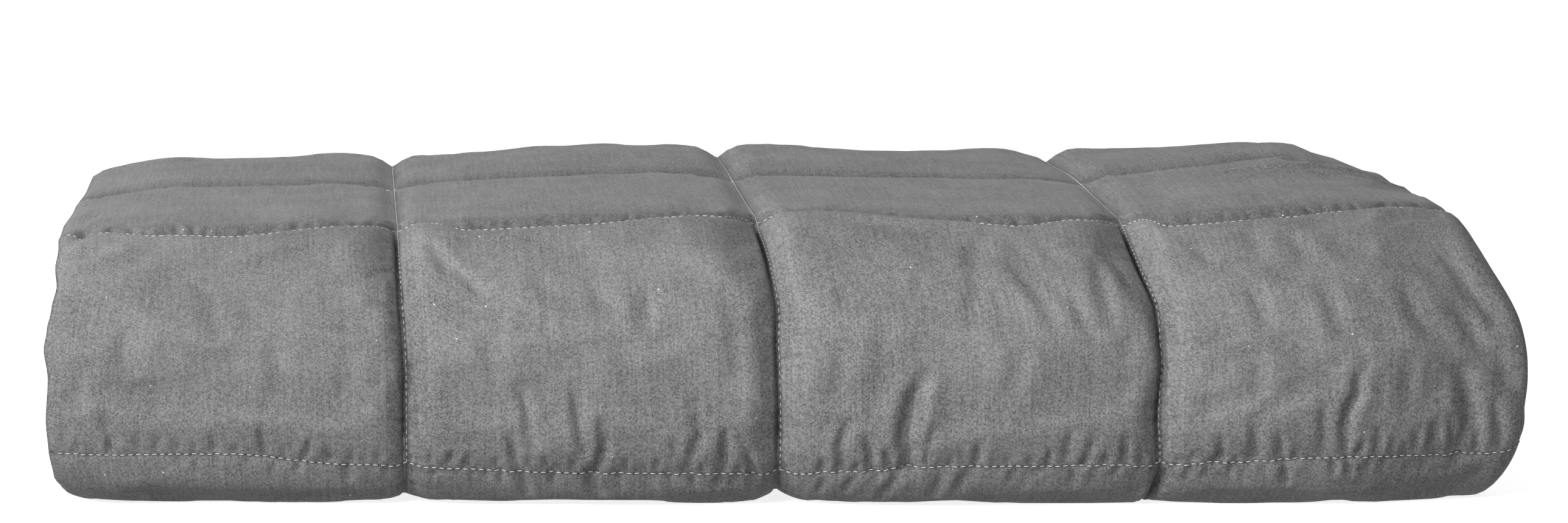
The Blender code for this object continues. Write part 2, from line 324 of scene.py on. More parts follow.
def pathFrame(length):
    # y, z and the direction outwards at a length of cloth
    index = np.clip(np.searchsorted(pathTable[:, 0], length, side="right") - 1, 0, len(pathTable) - 2)
    share = ((length - pathTable[index, 0]) / (pathTable[index + 1, 0] - pathTable[index, 0]))[:, None]
    place = pathTable[index, 1:] * (1 - share) + pathTable[index + 1, 1:] * share
    run = pathRun[index] * (1 - share) + pathRun[index + 1] * share
    run /= np.linalg.norm(run, axis=1)[:, None]
    return place[:, 0], place[:, 1], -run[:, 1], run[:, 0]


def crossSection(offset):
    # the two plies seen along the path: x, distance from their middle, and the ply's own normal
    side = np.where(offset >= 0, 1.0, -1.0)
    length = np.abs(offset)
    radius, reach, bend = 0.5 * blanket["plyPitch"], blanket["creaseReach"], blanket["creaseArc"]
    angle = side * 0.5 * math.pi * np.minimum(length, bend) / bend
    run = length - bend
    bulge = reach * np.maximum(0.0, 1 - run / (cell - bend))
    lastSquare = cell * (0.5 * blanket["cellsAcross"] - 1) - bend
    gathered = (1 - blanket["endGather"]) * np.maximum(0.0, run - lastSquare)
    turning = length <= bend
    x = np.where(turning, reach + radius * np.cos(angle), bulge - run + gathered)
    out = np.where(turning, radius * np.sin(angle), side * radius)
    return x, out, np.where(turning, np.cos(angle), 0.0), np.where(turning, np.sin(angle), side)


def settle(x, y, z):
    s = settling
    foldEnd = smooth((x + s["foldEnd"]) / s["foldEndEase"])
    openEnd = smooth((-s["openEnd"] - x) / s["openEndEase"])
    near = np.maximum(0.0, 1 - y / s["roundDepth"])
    wave = s["frontWave"] * np.sin(s["frontWavePitch"] * x + s["frontWavePhase"])
    y = y + near * (s["foldEndRound"] * foldEnd ** 2 + s["openEndRound"] * openEnd + wave)
    x = x - s["topDraw"] * smooth((z - s["topDrawFrom"]) / s["topDrawEase"]) * (x + s["stillX"])
    x = x - s["foldEndFoot"] * smooth(1 - z / s["footHeight"]) * foldEnd
    x = x - s["foldEndShoulder"] * smooth((z - s["shoulderHeight"]) / s["shoulderEase"]) * foldEnd
    x = x - s["leftSpread"] * smooth((-s["leftSpreadFrom"] - x) / s["leftSpreadFrom"])
    lift = ease(s["skyline"], x) + ease(s["backRise"], y) * (1 - foldEnd)
    for swellX, swellY, width, depth, share in s["swells"]:
        lift = lift + share * np.exp(-(((x - swellX) / width) ** 2 + ((y - swellY) / depth) ** 2))
    lift = lift - (s["foldEndDroop"] * smooth((x + s["droopFrom"]) / s["droopEase"])
                   * smooth((y - s["droopBehind"]) / s["droopDepth"]))
    lift = lift - (s["tailDroop"] * smooth((y - s["tailFrom"]) / s["tailEase"])
                   * smooth((s["tailHeight"] - z) / s["tailFade"]))
    height = z * lift
    height = height - s["press"] * np.exp(-height / s["pressFade"])
    return x - s["sideLean"] * y, y, np.maximum(0.0, height)


def halfThickness(across, along, face, softSeams):
    acrossCell, alongCell = across - np.floor(across), along - np.floor(along)
    acrossPart = np.where(face > 0, crown(acrossCell, True), crown(acrossCell))
    shallow = sum(share * (np.rint(across) == line) for line, share in settling["footFill"].items())
    foot = shallow * smooth((settling["footFrom"] - along) / settling["footReach"])
    acrossPart = foot + (1 - foot) * acrossPart
    alongPart = np.where(face > 0, crown(alongCell, True), crown(alongCell))
    alongPart = softSeams + (1 - softSeams) * alongPart
    edge = np.minimum(np.minimum(across, blanket["cellsAcross"] - across),
                      np.minimum(along, blanket["cellsAlong"] - along))
    base = np.where(edge < blanket["atHem"], blanket["hemHalf"], blanket["seamHalf"])
    return base + (blanket["crownHalf"] - base) * acrossPart * alongPart


def seamPull(across, along):
    # the stitching that runs front to back draws both shells into the stack, and the square at its left
    # leans over it
    away = (across - np.rint(across)) * cell
    low, high = seams["pullZone"]
    flank = np.ones_like(across)
    for line, table in seams["flank"].items():
        flank = np.where(np.rint(across) == line, ease(table, along), flank)
    width = np.where(away > 0, seams["pullLeft"] * flank, seams["pullRight"])
    slit = seams["slit"] * (seams["slitLeast"] + (1 - seams["slitLeast"]) * flank)
    slit = slit * np.exp(-((away - seams["slitAside"]) / seams["slitWidth"]) ** 2)
    slit = slit * ease(seams["slitShown"], along)
    pull = seams["pull"] * (1 + seams["pullGrowth"] * np.maximum(0.0, flank - 1))
    drawn = (pull * np.exp(-(away / width) ** 2) + slit) * ease(seams["pullShown"], along)
    return np.where((across > low) & (across < high), drawn, 0.0)


def folded(across, along, face, relief=0.0, softSeams=0.0):
    # where points of the flat blanket go; face is -1 or 1 and relief is metres outwards
    middle = 0.5 * blanket["cellsAcross"]
    thickness = face * halfThickness(across, along, face, softSeams) + relief - seamPull(across, along)
    x, out, normalX, normalOut = crossSection((across - middle) * cell)
    share = smooth(np.abs(across - middle) - settling["plyEndFrom"])
    side = np.where(across > middle, 1.0, -1.0)
    drawn = settling["plyEndDraw"] + settling["plyEndWave"] * np.sin(settling["plyEndPitch"] * along + side)
    shift = share * np.where(side > 0, ease(seams["openEdge"], along), drawn)
    for line, slip in seams["slip"].items():
        shift = shift + np.maximum(0.0, 1 - np.abs(across - line)) * ease(slip, along)
    x = x + thickness * normalX + shift
    out = out + thickness * normalOut
    slide = sum(np.maximum(0.0, 1 - np.abs(along - line) / seams["slideReach"]) * ease(table, across)
                for line, table in seams["slide"].items())
    y, z, normalY, normalZ = pathFrame(along * cell + slide)
    x, y, z = settle(x, y + out * normalY, z + out * normalZ)
    corner = blanket["cornerInFrame"]
    return np.stack((x + corner[0], y + corner[1], z + corner[2]), axis=1)


# relief of the outer face: puckers, creases and the slow rise and fall of the filling, in metres
surface = {
    "seed": 41,
    "softSeams": ((2, 0.66, 0.35), (3, 0.46, 0.28)),  # line, share of the crown left there, squares of reach
    "creaseWidth": 0.0008,  # a crease's width and depth where its own are 1
    "creaseDepth": 0.00124,
    "creaseAside": 0.8,  # widths that a trough lies to the right of the shadow that marks it
    "creaseTaper": 0.8,
    "creaseEnd": 0.12,  # share of the taper that is cut off at each end
    "creaseBank": 0.3,  # share of a crease's depth that stands up beside it
    "bankAside": 2.0, "bankWidth": 1.3,  # in widths
    "puckers": {"pitch": 0.0085, "depth": 0.0010, "length": 0.007, "width": 0.0026},  # at the sideways seams
    "rim": {"pitch": 0.0058, "depth": 0.0018, "length": 0.0065, "width": 0.0017},  # behind the upper one
    "nicks": {"pitch": 0.0062, "depth": 0.0013, "length": 0.006, "width": 0.0017},  # at those front to back
    "rimAt": (3, 1),  # line and side
    "gatherSpans": ((4.0, 8.0), (1.0, 5.4)),  # squares along which the two kinds of seam are gathered
    "pitchVaries": (0.5, 1.7),
    "lengthVaries": (0.4, 1.4),
    "depthVaries": (0.2, 1.2),
    "leanVaries": (-0.35, 0.35),
    "widthVaries": (0.7, 1.4),
    "gatherStart": 0.002,  # a gather sets in over this distance from its seam
    "fadeWidths": 5, "fadeLengths": 2.5,  # where a crease or a gather has faded out
    "unevenness": 0.0016,
    "unevenScale": 16.0,
    "unevenLayers": ((1.0, 1.0, 3.7), (0.5, 2.3, 9.1)),  # strength, fineness, place in the noise
}
creases = (  # half width, depth, then places on the cloth one after the other: across, along
    (2.2, 2.6, 4.999, 1.965, 5.004, 1.93, 5.013, 1.855, 5.022, 1.78),
    (1.5, -1.0, 5.986, 2.03, 5.979, 2.11, 5.973, 2.2, 5.97, 2.27, 5.973, 2.33, 5.984, 2.39),
    (1.3, -0.7, 6.982, 2.03, 6.973, 2.08, 6.974, 2.16, 6.981, 2.27, 6.986, 2.37, 6.988, 2.45),
    (3.0, 1.3, 6.713, 2.26, 6.692, 2.188, 6.682, 2.125, 6.672, 2.083),
    (2.4, 1.8, 6.734, 2.104, 6.724, 2.063, 6.713, 2.021),
    (3.0, 1.9, 6.567, 2.271, 6.557, 2.177, 6.547, 2.115, 6.536, 2.073),
    (2.6, 2.2, 6.495, 2.146, 6.484, 2.094, 6.495, 2.042, 6.505, 2.01), (2.2, 1.1, 6.297, 2.104, 6.286, 2.063),
    (3.0, 1.5, 6.245, 2.198, 6.234, 2.115, 6.255, 2.052, 6.265, 2.01),
    (2.4, 2.0, 6.161, 2.125, 6.161, 2.073, 6.161, 2.021), (1.8, 0.9, 6.12, 2.031, 6.12, 2.0),
    (2.2, 1.4, 6.099, 2.073, 6.088, 2.031, 6.078, 1.969), (1.6, 0.8, 6.963, 2.031, 6.963, 2.01),
    (1.6, 1.2, 6.942, 2.052, 6.942, 2.01), (1.8, 1.5, 6.89, 2.052, 6.89, 2.021),
    (1.8, 1.0, 6.838, 2.052, 6.849, 2.01), (1.6, 0.8, 6.765, 2.042, 6.765, 2.021),
    (1.6, 0.8, 6.682, 2.052, 6.682, 2.021), (1.7, 1.0, 6.64, 2.052, 6.63, 2.021),
    (1.8, 1.1, 6.567, 2.052, 6.557, 2.021), (1.6, 0.9, 6.422, 2.052, 6.422, 2.01),
    (1.7, 0.9, 6.338, 2.052, 6.338, 2.021), (1.6, 0.7, 6.37, 2.031, 6.37, 2.01),
    (1.6, 0.8, 6.224, 2.042, 6.213, 2.01), (2.6, 1.4, 6.703, 2.0, 6.692, 1.917),
    (3.0, 1.6, 6.526, 2.0, 6.515, 1.958, 6.495, 1.927), (2.0, 0.9, 6.307, 2.0, 6.297, 1.979),
    (2.0, 1.0, 6.245, 2.0, 6.245, 1.969), (2.0, 1.0, 6.172, 2.0, 6.172, 1.958),
    (1.8, 0.8, 6.87, 2.0, 6.87, 1.969), (1.8, 0.8, 6.932, 2.0, 6.932, 1.969),
    (1.8, 0.8, 6.828, 2.0, 6.828, 1.979), (1.8, 0.9, 6.755, 2.01, 6.755, 1.958),
    (2.2, 1.0, 6.62, 2.01, 6.62, 1.958), (2.2, 0.9, 6.442, 2.0, 6.432, 1.958),
    (2.0, 1.3, 5.901, 2.042, 5.901, 2.0), (2.4, 1.5, 5.838, 2.146, 5.859, 2.083, 5.849, 2.0),
    (1.8, 1.0, 5.807, 2.031, 5.817, 2.0), (2.2, 1.7, 5.786, 2.104, 5.776, 2.052, 5.776, 2.0),
    (1.9, 1.5, 5.734, 2.063, 5.724, 2.0),
    (4.2, 3.5, 5.651, 2.271, 5.672, 2.208, 5.682, 2.156, 5.692, 2.083, 5.682, 2.052, 5.692, 2.0),
    (1.8, 1.3, 5.63, 2.042, 5.63, 2.01), (2.6, 0.9, 5.62, 2.115, 5.63, 2.052),
    (2.2, 1.6, 5.495, 2.073, 5.505, 2.0), (1.8, 1.2, 5.307, 2.052, 5.317, 2.0),
    (2.8, 1.1, 5.255, 2.104, 5.265, 2.052, 5.265, 2.01), (1.8, 1.2, 5.213, 2.021, 5.224, 2.0),
    (2.8, 0.9, 5.192, 2.094, 5.213, 2.021), (2.2, 1.7, 5.109, 2.083, 5.109, 2.01),
    (1.8, 1.0, 5.161, 2.031, 5.161, 2.0), (1.6, 0.8, 5.567, 2.031, 5.567, 2.0),
    (1.6, 0.8, 5.411, 2.031, 5.422, 2.0), (1.6, 0.8, 5.359, 2.031, 5.359, 2.0),
    (1.7, 0.9, 5.067, 2.042, 5.057, 2.0), (2.0, 0.8, 5.89, 1.99, 5.901, 1.927),
    (2.2, 1.0, 5.817, 1.99, 5.838, 1.927), (2.2, 0.9, 5.755, 2.0, 5.755, 1.969),
    (3.0, 1.2, 5.713, 1.99, 5.724, 1.948, 5.745, 1.896), (3.0, 1.0, 5.588, 1.979, 5.609, 1.896),
    (3.0, 1.0, 5.526, 1.99, 5.557, 1.906), (2.2, 1.0, 5.401, 2.0, 5.411, 1.948),
    (2.0, 0.9, 5.338, 1.99, 5.349, 1.969), (2.4, 1.2, 5.245, 2.0, 5.245, 1.938),
    (2.0, 1.1, 5.13, 1.99, 5.13, 1.969), (1.9, 1.2, 4.963, 2.021, 4.963, 2.0),
    (1.8, 1.0, 4.922, 2.042, 4.932, 2.0), (1.7, 0.8, 4.911, 2.031, 4.901, 2.0),
    (2.2, 1.4, 4.859, 2.073, 4.859, 2.021, 4.88, 2.0), (1.8, 1.0, 4.817, 2.021, 4.817, 2.0),
    (3.0, 1.4, 4.776, 2.125, 4.776, 2.063, 4.776, 2.01), (1.8, 0.8, 4.755, 2.042, 4.755, 2.01),
    (2.4, 1.3, 4.713, 2.073, 4.703, 2.0), (1.8, 0.9, 4.672, 2.031, 4.661, 1.99),
    (3.2, 1.3, 4.599, 2.146, 4.599, 2.073, 4.588, 2.021),
    (3.0, 2.2, 4.495, 2.292, 4.515, 2.24, 4.515, 2.177, 4.536, 2.135, 4.547, 2.083, 4.536, 2.01),
    (2.0, 1.5, 4.495, 2.042, 4.505, 2.0), (2.2, 1.3, 4.453, 2.083, 4.453, 2.01),
    (1.8, 0.9, 4.411, 2.052, 4.411, 2.01), (1.8, 0.9, 4.38, 2.042, 4.37, 2.0),
    (2.4, 1.3, 4.297, 2.094, 4.286, 2.0),
    (4.2, 3.0, 4.245, 2.25, 4.224, 2.177, 4.213, 2.115, 4.224, 2.042, 4.224, 2.0),
    (2.4, 1.2, 4.182, 2.063, 4.172, 2.0), (4.4, 1.0, 4.13, 2.302, 4.112, 2.219, 4.06, 2.115),
    (1.8, 0.9, 4.932, 1.99, 4.932, 1.958), (1.8, 0.9, 4.89, 1.99, 4.89, 1.958),
    (1.8, 0.8, 4.828, 1.99, 4.828, 1.958), (2.0, 0.8, 4.745, 1.99, 4.745, 1.969),
    (2.2, 1.6, 4.692, 1.99, 4.682, 1.938), (1.9, 1.0, 4.567, 1.99, 4.557, 1.958),
    (2.0, 1.4, 4.526, 1.99, 4.515, 1.958), (1.8, 0.8, 4.432, 1.99, 4.422, 1.969),
    (1.8, 0.8, 4.307, 1.99, 4.307, 1.969), (3.4, 0.8, 7.963, 2.083, 7.963, 2.01),
    (2.0, 0.9, 7.922, 2.042, 7.932, 2.0), (4.0, 1.4, 7.849, 2.125, 7.828, 2.052),
    (2.0, 1.3, 7.828, 2.052, 7.828, 2.01), (2.6, 0.8, 7.755, 2.063, 7.755, 2.01),
    (2.2, 0.7, 7.692, 2.063, 7.703, 2.01), (1.7, 0.9, 7.599, 2.031, 7.599, 2.0),
    (2.0, 1.0, 7.547, 2.052, 7.536, 2.0), (1.8, 0.7, 7.484, 2.031, 7.484, 2.0),
    (2.0, 1.6, 7.411, 2.094, 7.411, 2.052, 7.401, 2.0), (2.0, 1.5, 7.276, 2.073, 7.286, 2.042, 7.297, 2.01),
    (1.7, 0.8, 7.161, 2.052, 7.161, 2.01), (1.7, 0.7, 7.088, 2.052, 7.088, 2.01),
    (1.6, 0.6, 7.349, 2.042, 7.349, 2.01), (1.6, 0.6, 7.224, 2.042, 7.213, 2.01),
    (2.2, 0.7, 7.588, 1.99, 7.599, 1.948), (2.4, 0.8, 7.38, 1.99, 7.39, 1.948),
    (2.0, 1.0, 7.307, 2.0, 7.317, 1.969), (2.2, 0.8, 7.172, 2.0, 7.172, 1.958),
    (1.8, 0.8, 7.067, 2.0, 7.067, 1.969), (2.2, 1.2, 7.088, 2.521, 7.057, 2.51, 7.026, 2.49),
    (2.2, 0.7, 7.109, 2.542, 7.067, 2.542), (3.5, 0.7, 6.64, 2.677, 6.64, 2.583),
    (3.4, 0.9, 6.682, 2.542, 6.692, 2.448), (4.0, 1.4, 6.359, 2.573, 6.38, 2.469),
    (3.0, 0.7, 6.64, 2.531, 6.64, 2.458), (5.0, 1.5, 6.14, 2.531, 6.14, 2.406, 6.14, 2.271),
    (4.0, 1.4, 6.859, 2.708, 6.807, 2.615), (4.5, 1.2, 6.922, 2.76, 6.89, 2.646),
    (5.0, 1.2, 6.505, 2.656, 6.484, 2.521), (5.0, 1.2, 6.797, 2.448, 6.786, 2.323),
    (5.0, 1.0, 6.442, 2.417, 6.432, 2.281), (2.4, 0.8, 5.838, 2.531, 5.849, 2.469),
    (2.4, 0.9, 5.62, 2.615, 5.64, 2.552), (3.4, 1.0, 5.474, 2.625, 5.505, 2.531, 5.515, 2.448),
    (4.0, 1.4, 5.38, 2.729, 5.349, 2.635, 5.317, 2.531, 5.307, 2.458),
    (3.4, 1.5, 5.14, 2.688, 5.151, 2.563, 5.161, 2.448), (3.4, 1.1, 5.234, 2.552, 5.224, 2.469, 5.203, 2.396),
    (3.6, 0.8, 5.276, 2.625, 5.245, 2.5), (3.4, 0.7, 5.099, 2.74, 5.078, 2.594),
    (4.6, 0.9, 5.745, 2.438, 5.755, 2.313), (4.6, 1.2, 5.401, 2.365, 5.422, 2.219),
    (5.0, 1.2, 5.859, 2.365, 5.87, 2.229), (4.4, 1.2, 4.567, 2.573, 4.567, 2.458, 4.557, 2.385),
    (4.6, 1.3, 4.349, 2.542, 4.349, 2.448, 4.317, 2.375),
    (4.4, 1.2, 4.224, 2.458, 4.203, 2.375, 4.172, 2.302), (3.6, 0.7, 4.515, 2.396, 4.505, 2.302),
    (4.6, 0.9, 4.755, 2.594, 4.755, 2.458), (4.6, 1.2, 4.786, 2.354, 4.776, 2.208),
    (4.6, 1.0, 4.39, 2.292, 4.39, 2.167), (5.5, 1.4, 7.786, 2.469, 7.797, 2.281),
    (5.0, 0.9, 7.578, 2.646, 7.547, 2.438), (5.0, 1.0, 7.38, 2.396, 7.38, 2.198),
    (5.0, 0.9, 7.182, 2.365, 7.192, 2.188), (5.0, 0.9, 7.922, 2.302, 7.932, 2.167),
    (5.0, 2.4, 7.984, 2.86, 7.953, 2.948, 7.922, 3.083, 7.87, 3.16),
    (4.5, 1.7, 7.98, 2.745, 7.932, 2.771, 7.88, 2.815), (5.0, 1.8, 7.984, 3.255, 7.942, 3.365, 7.89, 3.43),
    (1.6, 1.5, 7.993, 2.271, 7.975, 2.273), (5.0, 0.8, 5.442, 2.844, 5.474, 2.708, 5.495, 2.594),
    (5.0, 0.9, 5.359, 2.833, 5.317, 2.667, 5.297, 2.542),
    (4.0, 0.7, 5.151, 2.698, 5.151, 2.615, 5.172, 2.521), (3.0, 0.7, 5.838, 2.563, 5.838, 2.5),
    (5.0, 0.7, 4.734, 2.885, 4.713, 2.719), (5.0, 0.8, 4.62, 2.813, 4.588, 2.688),
    (4.5, 0.9, 4.203, 2.51, 4.203, 2.427, 4.192, 2.344),
    (4.0, 1.0, 4.17, 2.64, 4.15, 2.47, 4.13, 2.34, 4.112, 2.19),
    (3.0, 0.7, 4.115, 2.44, 4.09, 2.33, 4.08, 2.22), (2.6, 1.1, 4.14, 2.15, 4.13, 2.083, 4.11, 2.021),
    (3.0, 1.2, 4.192, 2.094, 4.172, 2.021), (2.0, 1.2, 4.255, 2.104, 4.245, 2.021),
    (2.0, 1.2, 4.307, 2.083, 4.307, 2.021), (2.0, 1.0, 4.349, 2.073, 4.349, 2.021),
    (3.0, 0.8, 4.87, 2.844, 4.838, 2.719), (4.0, 0.7, 5.286, 2.823, 5.245, 2.688),
    (3.0, 0.6, 5.099, 2.396, 5.12, 2.313),
    (3.4, 2.4, 4.7, 3.64, 4.495, 3.656, 4.359, 3.688, 4.255, 3.719, 4.16, 3.76, 4.06, 3.85),
    (2.4, 1.6, 4.4, 3.583, 4.276, 3.625, 4.16, 3.66, 4.08, 3.75),
)


def creaseRelief(across, along, crease):
    # a soft trough that follows the points, with its cloth pushed up beside it
    width, depth = surface["creaseWidth"] * crease[0], surface["creaseDepth"] * crease[1]
    points = np.array(crease[2:]).reshape(-1, 2) * cell
    points[:, 0] -= surface["creaseAside"] * width
    x, y = across * cell, along * cell
    reach = surface["fadeWidths"] * width
    low, high = points.min(axis=0) - reach, points.max(axis=0) + reach
    near = np.nonzero((x > low[0]) & (x < high[0]) & (y > low[1]) & (y < high[1]))[0]
    x, y = x[near], y[near]
    steps, done = np.diff(points, axis=0), runLengths(points)
    lengths = np.linalg.norm(steps, axis=1)
    best = np.full(len(near), np.inf)
    signed, place = np.zeros(len(near)), np.zeros(len(near))
    for index, (step, length) in enumerate(zip(steps, lengths)):
        fromX, fromY = x - points[index, 0], y - points[index, 1]
        run = (fromX * step[0] + fromY * step[1]) / length
        held = np.clip(run, 0, length)
        away = np.hypot(fromX - held * step[0] / length, fromY - held * step[1] / length)
        closer = away < best
        best = np.where(closer, away, best)
        signed = np.where(closer, np.copysign(away, fromX * step[1] - fromY * step[0]), signed)
        place = np.where(closer, done[index] + held, place)
    cut = surface["creaseEnd"]
    share = np.clip(cut + (1 - 2 * cut) * place / done[-1], 0.0, 1.0)
    taper = np.sin(math.pi * share) ** surface["creaseTaper"]
    away = signed / width
    aside, bankWidth = surface["bankAside"], surface["bankWidth"]
    bank = np.exp(-((away - aside) / bankWidth) ** 2) + np.exp(-((away + aside) / bankWidth) ** 2)
    return near, -depth * (np.exp(-away ** 2) - surface["creaseBank"] * bank) * taper


def gatherRelief(across, along, chance):
    # short gathers that stand square to a seam, on both sides of it
    result = np.zeros_like(across)
    sidewaysSpan, uprightSpan = surface["gatherSpans"]
    for kind, lines, running, offset, (first, last) in (
            ("puckers", seams["sideways"], across, along, sidewaysSpan),
            ("nicks", seams["frontToBack"], along, across, uprightSpan)):
        for line in lines:
            for side in (-1, 1):
                gather = surface["rim" if (line, side) == surface["rimAt"] else kind]
                place = first
                while place < last:
                    place += gather["pitch"] / cell * chance.uniform(*surface["pitchVaries"])
                    length = gather["length"] * chance.uniform(*surface["lengthVaries"])
                    depth = gather["depth"] * chance.uniform(*surface["depthVaries"])
                    lean = chance.uniform(*surface["leanVaries"])
                    width = gather["width"] * chance.uniform(*surface["widthVaries"])
                    out = side * (offset - line) * cell
                    near = ((out > 0) & (out < surface["fadeLengths"] * length)
                            & (np.abs(running - place) * cell < surface["fadeWidths"] * width))
                    off = (running[near] - place) * cell + lean * out[near]
                    fade = np.exp(-(out[near] / length) ** 2) * smooth(out[near] / surface["gatherStart"])
                    result[near] -= depth * fade * np.exp(-(off / width) ** 2)
    return result


def unevenAt(across, along):
    scale = surface["unevenScale"] * cell
    return sum(strength * noise.noise(Vector((across * scale * fineness, along * scale * fineness, depth)))
               for strength, fineness, depth in surface["unevenLayers"])


def reliefOf(across, along):
    result = gatherRelief(across, along, random.Random(surface["seed"]))
    for crease in creases:
        near, moved = creaseRelief(across, along, crease)
        result[near] += moved
    rise = crown(across - np.floor(across)) * crown(along - np.floor(along))
    uneven = np.array([unevenAt(a, b) for a, b in zip(across, along)])
    return result + surface["unevenness"] * uneven * rise


def softSeamsOf(along):
    # the two seams at the front's edges are hardly sunk
    return sum(share * np.exp(-((along - line) / reach) ** 2) for line, share, reach in surface["softSeams"])


def outerFace(across, along, relief):
    return folded(across, along, np.ones_like(across), relief, softSeamsOf(along))


# the mesh of the cloth: zones are first and last square across, then along
grid = {
    "perSquare": 8,
    "outer": (3.875, 8.0, 0.0, 10.0),  # the half that lies outside; the other half is inside the fold
    "hemReach": 0.25,
    "seen": (3.875, 8.0, 1.5, 5.25),  # from in front and above
    "front": (3.875, 8.0, 1.625, 3.125),
    "gathered": (3.875, 8.0, 1.875, 2.25),  # the short creases beside the lower front seam
    "rim": (3.875, 8.0, 2.984, 3.063),  # and those at the upper one
    "besideSeam": (0.0625, 0.0235, 0.0157),  # squares from a front to back seam, halved once more at each
    "flatFace": 1.0,  # height of each face while the blanket is still flat
    "sameLine": 1e-5,
}


def makeFlatBlanket():
    # a closed flat body whose x and y are squares across and along, finer where it is seen
    body = bmesh.new()
    across, along = blanket["cellsAcross"], blanket["cellsAlong"]
    bmesh.ops.create_grid(body, x_segments=across * grid["perSquare"], y_segments=along * grid["perSquare"],
                          size=0.5)
    bmesh.ops.scale(body, vec=(across, along, 1), verts=body.verts)
    bmesh.ops.translate(body, vec=(0.5 * across, 0.5 * along, -grid["flatFace"]), verts=body.verts)
    grown = bmesh.ops.extrude_face_region(body, geom=list(body.faces), use_keep_orig=True)
    upper = [item for item in grown["geom"] if isinstance(item, bmesh.types.BMVert)]
    bmesh.ops.translate(body, vec=(0, 0, 2 * grid["flatFace"]), verts=upper)

    def refine(inside, acrossOnly=False):
        edges = []
        for edge in body.edges:
            first, last = (vert.co for vert in edge.verts)
            level = abs(first.z - last.z) < grid["sameLine"]
            runsAcross = abs(first.y - last.y) <= grid["sameLine"]
            if level and (runsAcross or not acrossOnly) and inside(0.5 * (first + last)):
                edges.append(edge)
        bmesh.ops.subdivide_edges(body, edges=edges, cuts=1, use_grid_fill=True)

    def within(name):
        low, high, first, last = grid[name]
        return lambda co: co.z > 0 and low <= co.x <= high and first <= co.y <= last

    def atHem(co):
        return min(co.x, across - co.x) <= grid["hemReach"] or min(co.y, along - co.y) <= grid["hemReach"]

    def besideSeam(co, reach):
        low, high = seams["pullZone"]
        return low < co.x < high and abs(co.x - round(co.x)) < reach

    outer, seen, front, gathered, rim = map(within, ("outer", "seen", "front", "gathered", "rim"))
    wide, narrow, narrowest = grid["besideSeam"]
    refine(lambda co: outer(co) or atHem(co))
    refine(lambda co: seen(co) or min(co.x, across - co.x) <= 0.5 * grid["hemReach"])
    refine(front)
    refine(lambda co: gathered(co) or rim(co) or (front(co) and besideSeam(co, wide)))
    refine(lambda co: front(co) and besideSeam(co, narrow), acrossOnly=True)
    refine(lambda co: front(co) and besideSeam(co, narrowest), acrossOnly=True)
    return body


# the cloth simulation of the outer shell
simulation = {
    "perSquare": 48,  # points a square
    "zone": (3.875, 8.0, 1.375, 5.375),
    "frames": 20,
    "quality": 4,
    "mass": 0.15,
    "bending": 1.0,
    "pressure": 4.0,
    "slack": 0.01,  # the shell is cut a little wider than the square it covers
    "heldReach": 0.5 / 64,  # squares beside a stitched line that are held
    "seed": 7,
    "startNoise": 0.00004,
    "wrinkleSpan": 0.009,  # wider swellings than this are left to the fold's own shape
    "stillBeside": 0.012,  # metres beside a stitched line over which the moves set in
    "cap": 0.0012,  # no point moves further than this
}


def blurred(field, spread, axis):
    reach = int(3 * spread)
    weights = np.exp(-0.5 * (np.arange(-reach, reach + 1) / spread) ** 2)
    padding = [(reach, reach) if index == axis else (0, 0) for index in range(3)]
    padded = np.pad(field, padding, mode="edge")
    count = field.shape[axis]
    return sum(weight * np.take(padded, range(start, start + count), axis=axis)
               for start, weight in enumerate(weights)) / weights.sum()


def addCloth(shell, held, points):
    group = shell.vertex_groups.new(name="held")
    group.add([int(index) for index in np.nonzero(held)[0]], 1.0, "REPLACE")
    shell.shape_key_add(name="start")
    cut = shell.shape_key_add(name="cut")  # the shell's size before it is sewn
    for item, point in zip(cut.data, points):
        item.co = (point[0] * (1 + simulation["slack"]), point[1], point[2])
    cloth = shell.modifiers.new("cloth", "CLOTH")
    settings = cloth.settings
    settings.rest_shape_key = cut
    settings.quality = simulation["quality"]
    settings.mass = simulation["mass"]
    settings.bending_stiffness = simulation["bending"]
    settings.vertex_group_mass = group.name
    settings.use_pressure = True
    settings.uniform_pressure_force = simulation["pressure"]
    settings.effector_weights.gravity = 0.0
    cloth.collision_settings.use_collision = False
    cloth.collision_settings.use_self_collision = False
    cloth.point_cache.frame_start = 1
    cloth.point_cache.frame_end = simulation["frames"]


